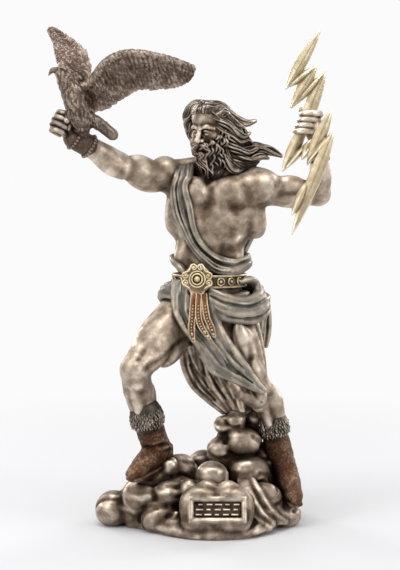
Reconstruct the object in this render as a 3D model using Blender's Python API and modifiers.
"""A cast figurine of a bearded sky god who strides over a heap of cloud.

Three castings make the piece: the figure with its drapery, boots and cloud base, which is one pour of
bronze-filled resin; the eagle that perches on the right wrist; and the thunderbolt that passes through
the left fist. The two smaller ones are set with a thin glue gap.

The clay forms below are drawn in millimetres for a statue 296 mm tall. The figure looks along -Y,
+X is the viewer's right, and Z is up from the middle of the flat underside.
"""

import math

import bmesh
import bpy
from mathutils import Matrix, Vector

# Driving sizes, in metres
STATUE_HEIGHT = 0.296  # underside to the top of the eagle's raised wing
GLUE_GAP = 0.0004  # between the figure and each casting that is set on it
BELT_HEIGHT = 0.0072
BUCKLE_DIAMETER = 0.0185
BUCKLE_THICKNESS = 0.0036
STUD_DIAMETER = 0.0052
STRAP_WIDTH = 0.0034
STRAP_THICKNESS = 0.0020
PLATE_LENGTH = 0.0285  # the sunk name panel on the front of the cloud
PLATE_HEIGHT = 0.0105
PLATE_DEPTH = 0.0008
STROKE_WIDTH = 0.0007  # shallow marks in the panel, which are no letters
STROKE_RISE = 0.0004
CUFF_HEIGHT = 0.0125  # fur roll at the top of each boot
BRACELET_LENGTH = 0.0125
BOLT_THICKNESS = 0.0052
BOLT_WIDTH = 0.0078
WING_THICKNESS = 0.0026

# How finely the clay is fused, and how many faces each casting keeps
FIGURE_GRAIN = 0.0009
EAGLE_GRAIN = 0.0007
FIGURE_TRIANGLES = 6600
EAGLE_TRIANGLES = 1400

DRAWN_HEIGHT = 296.0
UNIT = STATUE_HEIGHT / DRAWN_HEIGHT  # one drawn millimetre


def at(point):
    """A drawn point, in metres."""
    return Vector(point) * UNIT


def clear_scene():
    for thing in list(bpy.data.objects):
        bpy.data.objects.remove(thing)


def new_collection(name, shown):
    group = bpy.data.collections.new(name)
    bpy.context.scene.collection.children.link(group)
    group.hide_render = not shown
    return group


def evaluated_mesh(thing):
    """The object's mesh with its modifiers, in world space."""
    bpy.context.view_layer.update()
    graph = bpy.context.evaluated_depsgraph_get()
    mesh = bpy.data.meshes.new_from_object(thing.evaluated_get(graph))
    mesh.transform(thing.matrix_world)
    return mesh


class Clay:
    """Lumps, limbs and slabs of clay that are pressed together into one closed body."""

    def __init__(self, group):
        self.group = group
        self.mesh = bmesh.new()

    def lump(self, centre, radii, turn=(0, 0, 0), segments=14, rings=9):
        """An ellipsoid. turn is in degrees about X, Y and Z."""
        angles = [math.radians(a) for a in turn]
        spin = Matrix.Rotation(angles[2], 4, "Z") @ Matrix.Rotation(angles[1], 4, "Y")
        spin = spin @ Matrix.Rotation(angles[0], 4, "X")
        sides = (radii,) * 3 if isinstance(radii, (int, float)) else radii
        size = Matrix.Diagonal([side * UNIT for side in sides] + [1])
        place = Matrix.Translation(at(centre)) @ spin @ size
        bmesh.ops.create_uvsphere(self.mesh, u_segments=segments, v_segments=rings, radius=1, matrix=place)

    def limb(self, points, radii, ends=True):
        """A tube through the points whose radius changes on the way, with round ends."""
        data = bpy.data.curves.new("limb", "CURVE")
        data.dimensions = "3D"
        data.bevel_depth = UNIT
        data.bevel_resolution = 2
        data.use_fill_caps = True
        data.resolution_u = 3
        spline = data.splines.new("NURBS")
        spline.points.add(len(points) - 1)
        for knot, point, radius in zip(spline.points, points, radii):
            knot.co = (*at(point), 1)
            knot.radius = radius
        spline.order_u = 3
        spline.use_endpoint_u = True
        self.take_curve(data)
        if ends:
            self.lump(points[0], radii[0], segments=10, rings=7)
            self.lump(points[-1], radii[-1], segments=10, rings=7)

    def take_curve(self, data):
        thing = bpy.data.objects.new("guide", data)
        self.group.objects.link(thing)
        mesh = evaluated_mesh(thing)
        self.mesh.from_mesh(mesh)
        bpy.data.objects.remove(thing)
        bpy.data.meshes.remove(mesh)

    def folds(self, left, right, count, radii, middle=0.0):
        """Cloth folds: count limbs spread between a left and a right edge path. middle lifts them towards -Y."""
        for number in range(count):
            share = number / (count - 1)
            path = []
            for a, b in zip(left, right):
                point = Vector(a).lerp(Vector(b), share)
                point.y -= middle * math.sin(math.pi * share)
                path.append(point)
            self.limb(path, radii)

    def cylinder(self, centre, axis, radius, length, squash=1.0):
        """A drum about an axis, all sizes in metres but the centre. squash narrows it along Y."""
        turn = Vector(axis).to_track_quat("Z", "Y").to_matrix().to_4x4()
        place = Matrix.Translation(at(centre)) @ turn @ Matrix.Diagonal((1, squash, 1, 1))
        bmesh.ops.create_cone(
            self.mesh, cap_ends=True, segments=28, radius1=radius, radius2=radius, depth=length, matrix=place
        )

    def slab(self, centre, half_sides, lean, edge):
        """A block with rounded edges, leaned back by an angle in degrees."""
        work = bmesh.new()
        bmesh.ops.create_cube(work, size=2, matrix=Matrix.Diagonal([side * UNIT for side in half_sides] + [1]))
        bmesh.ops.bevel(work, geom=work.edges[:], offset=edge * UNIT, segments=3, affect="EDGES", profile=0.5)
        bmesh.ops.transform(
            work, matrix=Matrix.Translation(at(centre)) @ Matrix.Rotation(math.radians(lean), 4, "X"), verts=work.verts
        )
        data = bpy.data.meshes.new("slab")
        work.to_mesh(data)
        work.free()
        self.mesh.from_mesh(data)
        bpy.data.meshes.remove(data)

    def drop(self, name):
        """Hands the clay over as one mesh object, still in loose pieces."""
        bmesh.ops.remove_doubles(self.mesh, verts=self.mesh.verts, dist=UNIT * 0.001)
        data = bpy.data.meshes.new(name)
        self.mesh.to_mesh(data)
        self.mesh.free()
        thing = bpy.data.objects.new(name, data)
        self.group.objects.link(thing)
        return thing


def largest_body(mesh):
    """Leaves only the outer skin: bubbles shut inside the clay, and crumbs, are taken away."""
    work = bmesh.new()
    work.from_mesh(mesh)
    work.verts.ensure_lookup_table()
    seen = set()
    bodies = []
    for start in work.verts:
        if start.index in seen:
            continue
        seen.add(start.index)
        body = [start]
        for vert in body:
            for edge in vert.link_edges:
                other = edge.other_vert(vert)
                if other.index not in seen:
                    seen.add(other.index)
                    body.append(other)
        bodies.append(body)
    bodies.sort(key=len)
    spare = [vert for body in bodies[:-1] for vert in body]
    bmesh.ops.delete(work, geom=spare, context="VERTS")
    work.to_mesh(mesh)
    work.free()


def cast(clay, name, grain, triangles, soften):
    """Fuses loose clay into one skin, softens the joins and thins the faces to the number asked for."""
    loose = clay.drop(name + "_clay")
    fuse = loose.modifiers.new("fuse", "REMESH")
    fuse.mode = "VOXEL"
    fuse.voxel_size = grain
    fuse.adaptivity = 0
    smooth = loose.modifiers.new("soften", "SMOOTH")
    smooth.factor = 0.5
    smooth.iterations = soften
    mesh = evaluated_mesh(loose)
    bpy.data.objects.remove(loose)
    largest_body(mesh)
    mesh.name = name
    body = bpy.data.objects.new(name, mesh)
    clay.group.objects.link(body)
    fewer = body.modifiers.new("fewer faces", "DECIMATE")
    quads = len(mesh.polygons)
    fewer.ratio = min(1.0, triangles / (2 * quads))
    fewer.use_collapse_triangulate = True
    thinned = evaluated_mesh(body)
    body.modifiers.clear()
    body.data = thinned
    return body


# The pose: joints of the figure, in drawn millimetres
NECK_BASE, NECK_TOP = (8, 3, 206), (7, -2, 224)
HEAD = (7, -7, 238)
RIGHT_SHOULDER, RIGHT_ELBOW, RIGHT_WRIST, RIGHT_FIST = (-18, 2, 208), (-46, -25, 216), (-69, -38, 231), (-76.4, -42, 238.4)
LEFT_SHOULDER, LEFT_ELBOW, LEFT_WRIST, LEFT_FIST = (36, -2, 202), (72, 14, 198), (69.5, -9, 227), (64, -16, 239)
RIGHT_HIP, RIGHT_KNEE, RIGHT_ANKLE = (-6, 2, 131), (-38, -29, 97), (-25, -11, 46)
LEFT_HIP, LEFT_KNEE, LEFT_ANKLE = (18, 2, 131), (32, -12, 82), (50, 5, 32)
WAIST = (5.5, -3, 147.5)
BELLY_FORWARD = (-0.33, -0.94, 0)
BUCKLE = (-1.5, -21, 148.5)
PLATE_CENTRE, PLATE_LEAN = (9.5, -48.4, 18), -10


def between(start, end, share, lift=(0, 0, 0)):
    """A point on the way from start to end, moved by lift."""
    return tuple(Vector(start).lerp(Vector(end), share) + Vector(lift))


def model_torso(clay):
    clay.lump((5, 2, 138), (19, 14, 13))
    clay.lump((5.5, 0, 154), (17.5, 12.5, 14))
    clay.lump((7, 1, 176), (22.5, 15, 18))
    clay.lump((8.5, 2, 193), (26, 14.5, 15))
    for centre, radii, turn in (
        ((20, -10, 194), (15, 7.5, 10.5), (0, 0, 12)),
        ((-5, -9.5, 195), (12, 7.5, 10), (0, 0, -14)),
        ((29, 3, 187), (8, 10, 16), (0, -22, 0)),
        ((-11.5, 4, 189), (8, 10, 15), (0, 16, 0)),
    ):
        clay.lump(centre, radii, turn)
    clay.limb([NECK_BASE, NECK_TOP], [10, 9])
    clay.limb([(9, 6, 214), (-8, 5, 212), (-18, 3, 208)], [7, 7.5, 9])
    clay.limb([(9, 6, 214), (24, 3, 209), (35, 0, 203)], [7, 7.5, 9])
    for row, rise in enumerate((178, 169.5, 161)):
        for side in (-1, 1):
            clay.lump((5 - row * 0.6 + side * 5, -11.5 + row * 0.6, rise), (5.4, 5, 4.8))
    for side, start in ((1, (23, -8, 184)), (-1, (-10, -8, 184))):
        for row in range(3):
            low = Vector(start) + Vector((-side * 2.2, -1.5, -5.5)) * row
            clay.limb([low, low + Vector((-side * 5, -4, -3))], [2.6, 2])
    clay.limb([(19, 14, 204), (20, 15, 190), (14, 13, 170)], [7, 7, 6])
    clay.limb([(-3, 15, 204), (-3, 16, 190), (2, 13, 170)], [7, 7, 6])
    clay.lump((-3, 10, 136), (12, 10, 11))
    clay.lump((14, 11, 136), (12, 10, 11))


def model_right_arm(clay):
    clay.lump((-22, -1, 209), (11.5, 11, 11.5))
    clay.limb(
        [RIGHT_SHOULDER, between(RIGHT_SHOULDER, RIGHT_ELBOW, 0.5, (0, 0, 0.5)), between(RIGHT_SHOULDER, RIGHT_ELBOW, 0.8), RIGHT_ELBOW],
        [9.5, 10, 8.2, 6.4],
    )
    clay.lump(between(RIGHT_SHOULDER, RIGHT_ELBOW, 0.52, (-1, -3, 3)), (11, 7, 6.5), (0, 10, 40))
    clay.limb(
        [RIGHT_ELBOW, between(RIGHT_ELBOW, RIGHT_WRIST, 0.4), RIGHT_WRIST, RIGHT_FIST],
        [6.6, 6.4, 4.8, 5],
    )
    clay.cylinder(
        between(RIGHT_ELBOW, RIGHT_WRIST, 0.93),
        Vector(RIGHT_WRIST) - Vector(RIGHT_ELBOW),
        5.9 * UNIT,
        BRACELET_LENGTH,
    )
    model_fist(clay, RIGHT_FIST, Vector(RIGHT_WRIST) - Vector(RIGHT_ELBOW), (0.62, 0.1, 0.78))


def model_fist(clay, centre, forearm, grip):
    """A closed hand: the palm, four curled fingers side by side along the grip, and the thumb over them."""
    ahead = Vector(forearm).normalized()
    along = (Vector(grip) - Vector(grip).dot(ahead) * ahead).normalized()
    across = ahead.cross(along)
    middle = Vector(centre)
    clay.lump(middle + ahead * 0.5, 6.2)
    for number in range(4):
        base = middle + along * (number - 1.5) * 3.5
        path = [base + across * 5 - ahead * 1, base + across * 5.4 + ahead * 4, base - across * 1 + ahead * 6.4]
        path += [base - across * 6 + ahead * 4, base - across * 5.4 - ahead * 1]
        clay.limb(path, [2.1, 2.3, 2.2, 2.1, 1.9])
    thumb = [middle + along * 6 + across * 3 - ahead * 3, middle + along * 6.6 - across * 3, middle + along * 4 - across * 7.6]
    clay.limb(thumb, [2.6, 2.4, 2])


def model_left_arm(clay):
    clay.lump((38, -1, 203), (11, 11, 11.5))
    clay.limb(
        [LEFT_SHOULDER, between(LEFT_SHOULDER, LEFT_ELBOW, 0.5, (0, 0, 0)), between(LEFT_SHOULDER, LEFT_ELBOW, 0.82), LEFT_ELBOW],
        [9.5, 10, 8.4, 7.2],
    )
    clay.limb(
        [LEFT_ELBOW, between(LEFT_ELBOW, LEFT_WRIST, 0.4, (2, 0, 0)), LEFT_WRIST, LEFT_FIST],
        [7.2, 7.4, 4.8, 5],
    )
    clay.cylinder(
        between(LEFT_ELBOW, LEFT_WRIST, 0.9),
        Vector(LEFT_WRIST) - Vector(LEFT_ELBOW),
        5.9 * UNIT,
        BRACELET_LENGTH * 0.8,
    )
    model_fist(clay, LEFT_FIST, (-0.5, -0.75, 0.45), (-0.36, 0.04, -0.93))


def model_legs(clay):
    clay.limb(
        [RIGHT_HIP, between(RIGHT_HIP, RIGHT_KNEE, 0.5, (-1, 0, 2)), RIGHT_KNEE],
        [15, 12.4, 8.8],
    )
    clay.lump((-38.5, -31, 97), (8.4, 8, 9.5))
    clay.limb([RIGHT_KNEE, (-36, -23, 84), (-32, -19, 70), (-29, -15, 58)], [8.6, 9.4, 8, 7])
    clay.limb([LEFT_HIP, between(LEFT_HIP, LEFT_KNEE, 0.5, (2, 0, 1)), LEFT_KNEE], [16, 13, 9])
    clay.lump((31, -15.5, 79), (8.4, 7.5, 8))
    clay.limb([LEFT_KNEE, (40, -4, 74), (43, -2, 62), (46, 1, 50)], [8.4, 9.2, 8, 7.2])


def model_boot(clay, cuff, shaft, heel, sole, toe, cuff_radius):
    """A soft boot under a roll of fur."""
    rise = Vector(cuff) - Vector(shaft)
    clay.cylinder(cuff, rise, cuff_radius * UNIT, CUFF_HEIGHT)
    clay.limb([cuff, shaft, heel], [8, 7.2, 7.6])
    clay.lump(heel, 7.4)
    clay.limb([heel, sole, toe], [7.4, 7.8, 5.4])


def model_boots(clay):
    model_boot(clay, (-31.5, -19.5, 67.5), (-28, -14, 54), (-23, -9, 44), (-31, -20, 40), (-40, -31, 35.5), 10)
    model_boot(clay, (43.5, -1, 58.5), (47.5, 3, 43), (50.5, 7, 28), (54, -6, 24), (57, -18, 17.5), 9.8)


def model_head(clay):
    clay.lump((7, -6, 238), (12, 13.5, 13.5), (12, 0, -36))
    clay.lump((0.5, -16.5, 232), (8.2, 7.5, 11.5), (12, 0, -36))
    clay.limb([(-2.6, -22, 236), (-4.4, -26, 229.4)], [1.9, 2.5])
    clay.limb([(-6.4, -20, 238), (-2, -22.6, 238), (5.6, -19, 239)], [2, 2.4, 2.2])
    clay.lump((3.5, -19.5, 231), (3.4, 3, 3))
    clay.lump((-5.5, -20, 230.5), (2.4, 3, 3))
    clay.lump((4.5, -16, 214), (7.5, 6, 9.5), (0, -8, 0))
    for path, radii in (
        ([(-3, -25, 225.4), (-6.6, -23, 221.6), (-7.4, -20, 215)], (2, 2.2, 1.4)),
        ([(-2.4, -25, 225.4), (3.4, -24, 222), (5.6, -22, 215)], (2, 2.2, 1.4)),
        ([(-4, -22, 219), (-4.6, -21.6, 213), (-2, -20, 208)], (2.6, 2.4, 1.4)),
        ([(-0.6, -23, 218.6), (1, -22.6, 212), (4.6, -20, 205.6)], (2.8, 2.8, 1.4)),
        ([(4, -21.6, 222), (6.6, -21, 214), (8.6, -18, 206.6)], (2.6, 2.8, 1.4)),
        ([(8, -18.6, 226), (10.6, -18, 217.6), (12.6, -15, 209.6)], (3, 3, 1.6)),
        ([(10, -14, 233), (12.6, -14, 224), (16, -11.6, 214)], (3.2, 3.4, 2)),
        ([(3, -16, 249), (12, -11, 246), (20, -5, 239), (26, -1, 236.6)], (3.6, 3.8, 3, 1.8)),
        ([(1, -12, 250.4), (12, -5, 249), (21, 1, 243), (33.4, 4, 241.4)], (3.2, 3.8, 3, 2)),
        ([(3, -6, 250.6), (12, 0, 249.6), (20, 5, 243.6), (29, 7, 240)], (3, 4, 3.4, 2)),
        ([(4, 2, 248), (14, 7, 246), (22, 9, 239), (28, 9, 233)], (5, 5.4, 4.4, 2.6)),
        ([(7, -16, 245), (15, -12, 238), (22, -6, 233.4), (29.4, -1, 234)], (3, 3.8, 3.4, 1.8)),
        ([(9, -13, 240), (16, -10, 232), (24, -3, 228), (33, 2, 228)], (3.4, 4, 3.6, 2)),
        ([(9, 2, 240), (16, 8, 231), (25, 10, 224), (31, 9, 221)], (9, 8.6, 7, 5)),
        ([(11, -10, 233), (18, -7, 226), (27, -1, 224), (38, 5, 225.6), (48.6, 7, 221.6)], (3.6, 4.6, 4.4, 4, 2.2)),
        ([(12, -6, 228), (20, -3, 221), (30, 2, 219.6), (40, 6, 221), (47.6, 8, 219)], (4, 4.8, 4.4, 3.6, 2)),
        ([(13, -7, 224), (20, -6, 217), (29, -1, 214.6), (39, 4, 217.6)], (3.8, 4, 3.4, 2)),
        ([(13, -11, 224), (17, -10, 215), (24, -6, 211.6)], (3.4, 3.6, 2)),
        ([(0, -15, 249.6), (-5, -16, 245), (-7.4, -15, 237), (-7.6, -15, 231)], (2.8, 3, 2.6, 1.8)),
    ):
        clay.limb(path, radii)


def model_sash(clay):
    """Cloth over the right shoulder, across the chest, round the waist and up the back."""
    left = [(-9, 14, 208), (-13, 5, 216), (-16, -7, 209), (-17, -11, 195), (-14, -14, 182), (-7, -17, 169), (2, -20, 161), (14, -19, 154), (27, -6, 150.5), (26, 8, 151)]
    right = [(0, 15, 208), (-4, 5, 216), (-7, -10, 210), (-8.6, -16, 197), (-6.4, -17, 184), (-1, -18, 173), (7, -18, 164.6), (16, -15, 159.6), (26.4, -4, 158.6), (25, 8, 158)]
    clay.folds(left, right, 4, [2, 2.2, 2, 1.9, 1.9, 1.8, 1.8, 2, 2.2, 2.2], middle=0.8)
    left = [(-8, 14, 210), (0, 18, 198), (6, 18, 182), (11, 16, 166), (18, 12, 152)]
    right = [(8, 13, 212), (26, 14, 203), (37, 9, 189), (31, 10, 175), (24, 10, 158)]
    clay.folds(left, right, 6, [2.6, 3, 3, 2.8, 2.6])
    clay.limb([(-12, 6, 160), (-14.6, 0, 158), (-11, -8, 156)], [3, 3.4, 2.6])


def model_skirt(clay):
    """The loincloth, its rolls round the left hip, and the length that blows back between the legs."""
    left = [(-13, -11, 145), (-14, -18, 134), (-11, -22.6, 124), (-4.6, -25, 113), (0.6, -25, 102), (7, -22.6, 92), (16, -20.6, 84.6), (26, -20.6, 81)]
    right = [(6, -19, 144), (8, -21, 132), (13, -21.6, 121), (19, -21.6, 111), (25, -21.6, 101), (31, -21.6, 93), (35, -21, 86.6), (38.6, -19.6, 82)]
    clay.folds(left, right, 6, [2.4, 2.6, 2.6, 2.6, 2.4, 2.2, 1.9, 1.4], middle=1.6)
    clay.lump((16, -3, 137), (19, 15, 9))
    for path, radii in (
        ([(6, -20, 144), (15, -20, 141.6), (26, -14, 141), (33, -2, 142)], [2, 3, 3.4, 3]),
        ([(5.6, -21, 141), (16, -22, 136.6), (29, -15, 135.6), (35.6, -2, 137.6), (31, 12, 141)], [2, 3.6, 4, 3.8, 3.4]),
        ([(6, -21, 137), (17, -22.6, 130.6), (30, -16, 129), (38, -2, 132), (35, 11, 136)], [1.8, 3.2, 3.6, 3.6, 3.2]),
        ([(9, -20.6, 129.6), (20, -21.6, 125.6), (32, -14, 124.6), (37.6, -1, 127.6)], [1.8, 2.8, 3, 3]),
        ([(-12, -14, 143), (-17, -6, 139), (-18, 5, 138), (-12, 14, 140), (2, 19, 141), (18, 18, 140)], [2.6, 4, 4.4, 4.6, 4, 4]),
        ([(-15, -9, 135), (-19.6, 0, 133), (-17, 8, 132)], [2.2, 3, 3]),
        ([(29, -9, 148), (32, -8, 142), (31, -10, 136)], [2.6, 3, 2]),
        ([(32, -3, 146), (34.6, -2, 140), (36, 0, 134)], [2.4, 3, 2]),
        ([(37.6, 4, 136.6), (38.4, 7, 122), (37.4, 8, 108.6)], [3.2, 3.6, 3.2]),
        ([(34, 11, 137), (35, 12, 122), (34, 11, 109)], [4, 4, 3.4]),
    ):
        clay.limb(path, radii)
    left = [(-9.6, 1, 108), (-8.8, 3, 97), (-4.6, 4, 87), (1, 3, 80), (8, 2, 74), (15, 0, 67)]
    right = [(14, 8, 112), (20, 8, 100), (26, 7, 90), (30, 4, 82), (32, 1, 75), (31, -1, 66)]
    clay.folds(left, right, 6, [3.6, 3.4, 3.2, 3, 2.6, 2.2])
    left = [(-8, 11, 138), (-10, 11, 122), (-8, 9, 106)]
    right = [(27, 15, 138), (31, 13, 120), (31, 11, 102)]
    clay.folds(left, right, 7, [4, 4, 3.6])


def belt_point(turn, out, rise=0.0):
    """A point on the belt: turn is in degrees from straight ahead, towards the viewer's right."""
    angle = math.radians(turn)
    return (WAIST[0] + (21.2 + out) * math.sin(angle), WAIST[1] - (17.2 + out) * math.cos(angle), WAIST[2] + rise)


def model_belt(clay):
    clay.cylinder(WAIST, (0, 0, 1), 21.6 * UNIT, BELT_HEIGHT, squash=0.82)
    clay.cylinder(BUCKLE, BELLY_FORWARD, BUCKLE_DIAMETER / 2, BUCKLE_THICKNESS)
    clay.lump(Vector(BUCKLE) + Vector(BELLY_FORWARD) * 1.6, 3)
    for number in range(8):
        angle = math.radians(number * 45)
        offset = Vector((math.cos(angle), 0, math.sin(angle))) * (BUCKLE_DIAMETER / UNIT / 2 - 1.6)
        offset.y = 0.33 * offset.x * -1
        clay.lump(Vector(BUCKLE) + offset + Vector(BELLY_FORWARD) * 1.4, 1.5, segments=8, rings=6)
    for turn in (16, 34, 52, 70, -52, -70):
        point = belt_point(turn, 0.4)
        away = Vector(point) - Vector(WAIST)
        clay.cylinder(point, away, STUD_DIAMETER / 2, STRAP_THICKNESS)
    for path in (
        [(-5, -24, 140), (-5.6, -27.6, 127), (-4, -29, 114)],
        [(-1, -24.5, 140), (-0.4, -28.4, 127), (4, -29.4, 115)],
        [(3, -24, 140), (4.6, -27.8, 128), (9.6, -28.6, 117)],
    ):
        clay.limb(path, [STRAP_WIDTH / 2 / UNIT] * 3)


def model_clouds(clay):
    """The heap of cloud that the figure stands on, with the column of puffs behind the left knee."""
    for centre, radii in (
        ((-2, -4, 4), (44, 30, 11)),
        ((24, 4, 8), (34, 32, 15)),
        ((-52, -4, 9.8), (10, 11, 10.4)),
        ((-38, -10, 12), (13, 14, 16)),
        ((-34, -17, 18), (12, 11, 12)),
        ((-12.5, -2, 31), (10.5, 11, 10.6)),
        ((-17.5, -14, 33), (4.8, 4.6, 4.8)),
        ((-19, -22, 20), (7, 7, 7)),
        ((-6, -26, 24), (5, 5, 5.4)),
        ((-24, -22, 8), (11, 10.5, 10)),
        ((7, -18, 29), (10, 9.5, 9.6)),
        ((-12, -16, 22), (12, 12, 9)),
        ((10, -34, 15), (21, 14, 13)),
        ((9, -30, 4), (30, 19, 9)),
        ((-8, -24, 4), (18, 16, 9)),
        ((33, -20, 8), (15, 14, 12)),
        ((49, -8, 6), (12, 13, 8.6)),
        ((38, -18, 19), (11, 11, 11)),
        ((30, -8, 31), (12, 11, 11)),
        ((11.6, -1, 43), (7.6, 8, 7.6)),
        ((14, -2, 59), (5, 5.2, 5.2)),
        ((21.6, -4, 62.6), (6, 5.6, 7)),
        ((26, -4, 50), (11, 9, 8.6)),
        ((18, 4, 50), (8, 9, 9)),
        ((18, 5, 36), (14, 13, 13)),
        ((33, 6, 30), (14, 13, 19)),
        ((47, 9, 11), (13, 14, 14)),
        ((-32, 10, 12), (16, 16, 15)),
        ((-8, 22, 12), (17, 17, 17)),
        ((20, 25, 12), (17, 17, 16)),
        ((40, 22, 9), (14, 14, 13)),
        ((2, 12, 28), (12, 12, 13)),
        ((-6, 35, 6), (10, 8, 7)),
        ((-46, 8, 6), (10, 10, 8)),
        ((-25, -11, 28), (9, 9, 9)),
        ((34, 2, 60), (7, 6, 11)),
    ):
        clay.lump(centre, radii, segments=16, rings=10)
    clay.slab((9.5, -42.3, 17), (20.5, 6, 11), PLATE_LEAN, 4.5)


def box_cutter(group, name, centre, sides, lean=0.0):
    """A box in metres that cuts, leaned back by an angle in degrees."""
    work = bmesh.new()
    place = Matrix.Translation(centre) @ Matrix.Rotation(math.radians(lean), 4, "X")
    bmesh.ops.create_cube(work, size=1, matrix=place @ Matrix.Diagonal((*sides, 1)))
    data = bpy.data.meshes.new(name)
    work.to_mesh(data)
    work.free()
    thing = bpy.data.objects.new(name, data)
    group.objects.link(thing)
    return thing


def combine(body, other, operation):
    """Cuts or joins another object and keeps the result as the body's own mesh."""
    step = body.modifiers.new("step", "BOOLEAN")
    step.operation = operation
    step.solver = "EXACT"
    step.object = other
    mesh = evaluated_mesh(body)
    body.modifiers.clear()
    body.data = mesh


def finish_base(figure, cutters):
    """Cuts the underside flat, sinks the name panel, and raises its rows of strokes."""
    floor = box_cutter(cutters, "floor_cut", Vector((0, 0, -0.5 * STATUE_HEIGHT)), [STATUE_HEIGHT] * 3)
    combine(figure, floor, "DIFFERENCE")
    spin = Matrix.Rotation(math.radians(PLATE_LEAN), 3, "X")
    reach = 8 * UNIT
    sunk = at(PLATE_CENTRE) + spin @ Vector((0, PLATE_DEPTH - reach / 2, 0))
    combine(figure, box_cutter(cutters, "plate_cut", sunk, (PLATE_LENGTH, reach, PLATE_HEIGHT), PLATE_LEAN), "DIFFERENCE")
    for row in (-1, 1):
        for column in range(5):
            share = (column - 2) / 2
            place = Vector((share * PLATE_LENGTH * 0.38, PLATE_DEPTH - STROKE_RISE / 2, row * PLATE_HEIGHT * 0.2))
            sides = (PLATE_LENGTH * 0.13, STROKE_RISE * 2, STROKE_WIDTH)
            bar = box_cutter(cutters, "stroke", at(PLATE_CENTRE) + spin @ place, sides, PLATE_LEAN)
            combine(figure, bar, "UNION")


# Each stroke of the bolt: its upper end, its lower end, its width against the widest, and where its belly is
STROKES = (
    ((70, -17, 294), (50, -17, 260), 0.95, 0.62),
    ((67, -17, 273), (51, -17, 261), 0.62, 0.50),
    ((68, -17, 274), (53, -17, 249), 1.00, 0.50),
    ((72, -17, 269), (54, -17, 250), 0.62, 0.50),
    ((73, -17, 271), (57, -17, 230), 1.10, 0.50),
    ((65, -16.5, 247), (48, -21, 212), 1.00, 0.55),
    ((66, -21, 232), (49, -21, 213), 0.50, 0.50),
    ((67, -22.5, 232), (59, -24, 219), 0.80, 0.45),
    ((74, -27, 243), (60, -24.5, 220), 0.55, 0.40),
    ((76, -28, 248), (62, -28, 216), 1.00, 0.50),
    ((77, -29.5, 235), (62, -29, 217), 0.60, 0.50),
    ((77, -30.5, 236), (53, -34, 176), 1.10, 0.38),
    ((63, -31.5, 208), (53, -34, 187), 0.80, 0.50),
)
STROKE_RINGS = (0.0, 0.12, 0.5, 1.0)
BLADE_SECTION = ((1, 0.3), (0, 1), (-1, 0.3), (-1, -0.3), (0, -1), (1, -0.3))


def blade(group, top, bottom, share, belly):
    """One stroke of the bolt: ridged front and back, widest at its belly, and tapered to both ends."""
    upper, lower = at(top), at(bottom)
    length = (upper - lower).length
    along = (lower - upper).normalized()
    side = Vector((0, 1, 0)).cross(along).normalized()
    depth = along.cross(side)
    stations = [belly * ring for ring in STROKE_RINGS] + [1 - (1 - belly) * ring for ring in STROKE_RINGS[-2::-1]]
    work = bmesh.new()
    rings = []
    for station in stations:
        reach = station / belly if station <= belly else (1 - station) / (1 - belly)
        taper = 0.12 + 0.88 * math.sin(math.pi / 2 * reach) ** 0.85 if reach > 0 else 0.12
        centre = upper + along * length * station
        wide = side * BOLT_WIDTH / 2 * share * taper
        thick = depth * BOLT_THICKNESS / 2 * (0.35 + 0.65 * taper)
        if reach == 0:
            thick = depth * BOLT_THICKNESS / 2 * 0.2
        rings.append([work.verts.new(centre + wide * a + thick * b) for a, b in BLADE_SECTION])
    for first, second in zip(rings, rings[1:]):
        for number in range(len(BLADE_SECTION)):
            after = (number + 1) % len(BLADE_SECTION)
            work.faces.new((first[number], first[after], second[after], second[number]))
    work.faces.new(rings[0][::-1])
    work.faces.new(rings[-1])
    bmesh.ops.recalc_face_normals(work, faces=work.faces)
    data = bpy.data.meshes.new("blade")
    work.to_mesh(data)
    work.free()
    thing = bpy.data.objects.new("blade", data)
    group.objects.link(thing)
    return thing


def make_thunderbolt(group, cutters):
    bolt = blade(group, *STROKES[0])
    bolt.name = "thunderbolt"
    for stroke in STROKES[1:]:
        more = blade(cutters, *stroke)
        combine(bolt, more, "UNION")
        bpy.data.objects.remove(more)
    return bolt


def swell(body, group, amount):
    """A copy of a body that is larger by amount all round, to cut its seat."""
    copy = body.copy()
    copy.data = body.data.copy()
    copy.name = body.name + "_seat"
    group.objects.link(copy)
    push = copy.modifiers.new("swell", "DISPLACE")
    push.mid_level = 0
    push.strength = amount
    mesh = evaluated_mesh(copy)
    copy.modifiers.clear()
    copy.data = mesh
    return copy


def feather(clay, root, tip, width, facing):
    """One flight feather: a flat blade from the wing's arm to its own tip."""
    start, end = Vector(root), Vector(tip)
    along = (end - start).normalized()
    side = facing.cross(along).normalized()
    turn = Matrix((side, along.cross(side), along)).transposed().to_4x4()
    size = Matrix.Diagonal([width * UNIT, WING_THICKNESS / 2, (end - start).length / 2 * UNIT, 1])
    place = Matrix.Translation(at((start + end) / 2)) @ turn @ size
    bmesh.ops.create_uvsphere(clay.mesh, u_segments=10, v_segments=6, radius=1, matrix=place)


def wing(clay, arm, trail, arm_radii, count, width):
    """A wing: a rounded arm along its leading edge, and overlapping feathers back to its trailing edge."""
    clay.limb(arm, arm_radii)
    back = along_path(trail, 0.5) - along_path(arm, 0.5)
    facing = (Vector(arm[-1]) - Vector(arm[0])).cross(back).normalized()
    for number in range(count):
        share = number / (count - 1)
        feather(clay, along_path(arm, share), along_path(trail, share), width, facing)


def along_path(points, share):
    """The point at a share of the way through a list of points, counted by their number."""
    place = share * (len(points) - 1)
    low = min(int(place), len(points) - 2)
    return Vector(points[low]).lerp(Vector(points[low + 1]), place - low)


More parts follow.
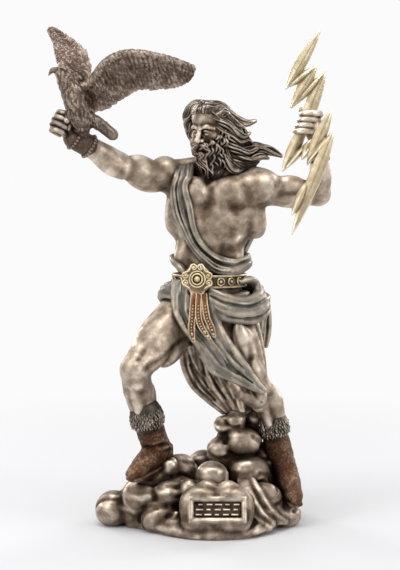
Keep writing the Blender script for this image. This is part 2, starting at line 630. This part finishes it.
def make_eagle(group, cutters):
    clay = Clay(cutters)
    clay.limb([(-73, -45, 262), (-70, -46, 254), (-67, -44, 244)], [6, 7.6, 5.6])
    clay.limb([(-75, -45, 262), (-78, -45, 268.5)], [4.6, 4.2])
    clay.limb([(-79, -45, 269), (-84, -46, 268)], [2.8, 0.9])
    clay.limb([(-66, -43, 244), (-58, -39, 239), (-49, -35, 232)], [5, 4, 4.2])
    clay.limb([(-70, -46, 248), (-73, -43, 240)], [3.6, 2.6])
    clay.limb([(-66, -42, 246), (-66, -38, 236)], [3.6, 2.8])
    near_arm = [(-69, -45, 262), (-60, -46, 270), (-50, -47, 277.5), (-41, -48, 279.5), (-29, -48, 278), (-16, -46, 276), (-4, -44, 273)]
    near_trail = [(-62, -44, 248), (-54, -45, 251), (-44, -46, 256), (-37, -47, 260.5), (-26, -46, 261), (-14, -45, 264), (-3, -43, 270)]
    wing(clay, near_arm, near_trail, [3.6, 3.2, 3, 2.8, 2.4, 2, 1.6], 16, 4.2)
    far_arm = [(-70, -42, 264), (-77, -34, 271), (-81, -26, 280), (-83, -20, 287), (-87, -14, 294)]
    far_trail = [(-65, -40, 263), (-66, -34, 271), (-69, -28, 281), (-76, -22, 288), (-84, -14, 294)]
    wing(clay, far_arm, far_trail, [3.6, 3, 2.6, 2.2, 1.8], 10, 3.6)
    eagle = cast(clay, "eagle", EAGLE_GRAIN, EAGLE_TRIANGLES, 2)
    return eagle


def make_figure(group, cutters):
    clay = Clay(cutters)
    model_torso(clay)
    model_right_arm(clay)
    model_left_arm(clay)
    model_legs(clay)
    model_boots(clay)
    model_head(clay)
    model_sash(clay)
    model_skirt(clay)
    model_belt(clay)
    model_clouds(clay)
    return cast(clay, "figure_on_clouds", FIGURE_GRAIN, FIGURE_TRIANGLES, 3)


def paint(body, colour, metallic, roughness):
    material = bpy.data.materials.new(body.name + "_finish")
    material.use_nodes = True
    shader = material.node_tree.nodes["Principled BSDF"]
    shader.inputs["Base Color"].default_value = (*colour, 1)
    shader.inputs["Metallic"].default_value = metallic
    shader.inputs["Roughness"].default_value = roughness
    body.data.materials.clear()
    body.data.materials.append(material)


def move_to(body, group):
    for old in list(body.users_collection):
        old.objects.unlink(body)
    group.objects.link(body)


def main():
    clear_scene()
    parts = new_collection("sky_god_figurine", True)
    cutters = new_collection("cutters", False)
    figure = make_figure(parts, cutters)
    finish_base(figure, cutters)
    bolt = make_thunderbolt(parts, cutters)
    combine(figure, swell(bolt, cutters, GLUE_GAP), "DIFFERENCE")
    eagle = make_eagle(parts, cutters)
    combine(eagle, swell(figure, cutters, GLUE_GAP), "DIFFERENCE")
    largest_body(eagle.data)
    largest_body(figure.data)
    for body in (figure, eagle):
        move_to(body, parts)
    for helper in list(cutters.objects):
        bpy.data.objects.remove(helper)
    paint(figure, (0.40, 0.34, 0.26), 0.8, 0.38)
    paint(eagle, (0.30, 0.21, 0.15), 0.7, 0.45)
    paint(bolt, (0.66, 0.58, 0.42), 0.9, 0.30)


main()
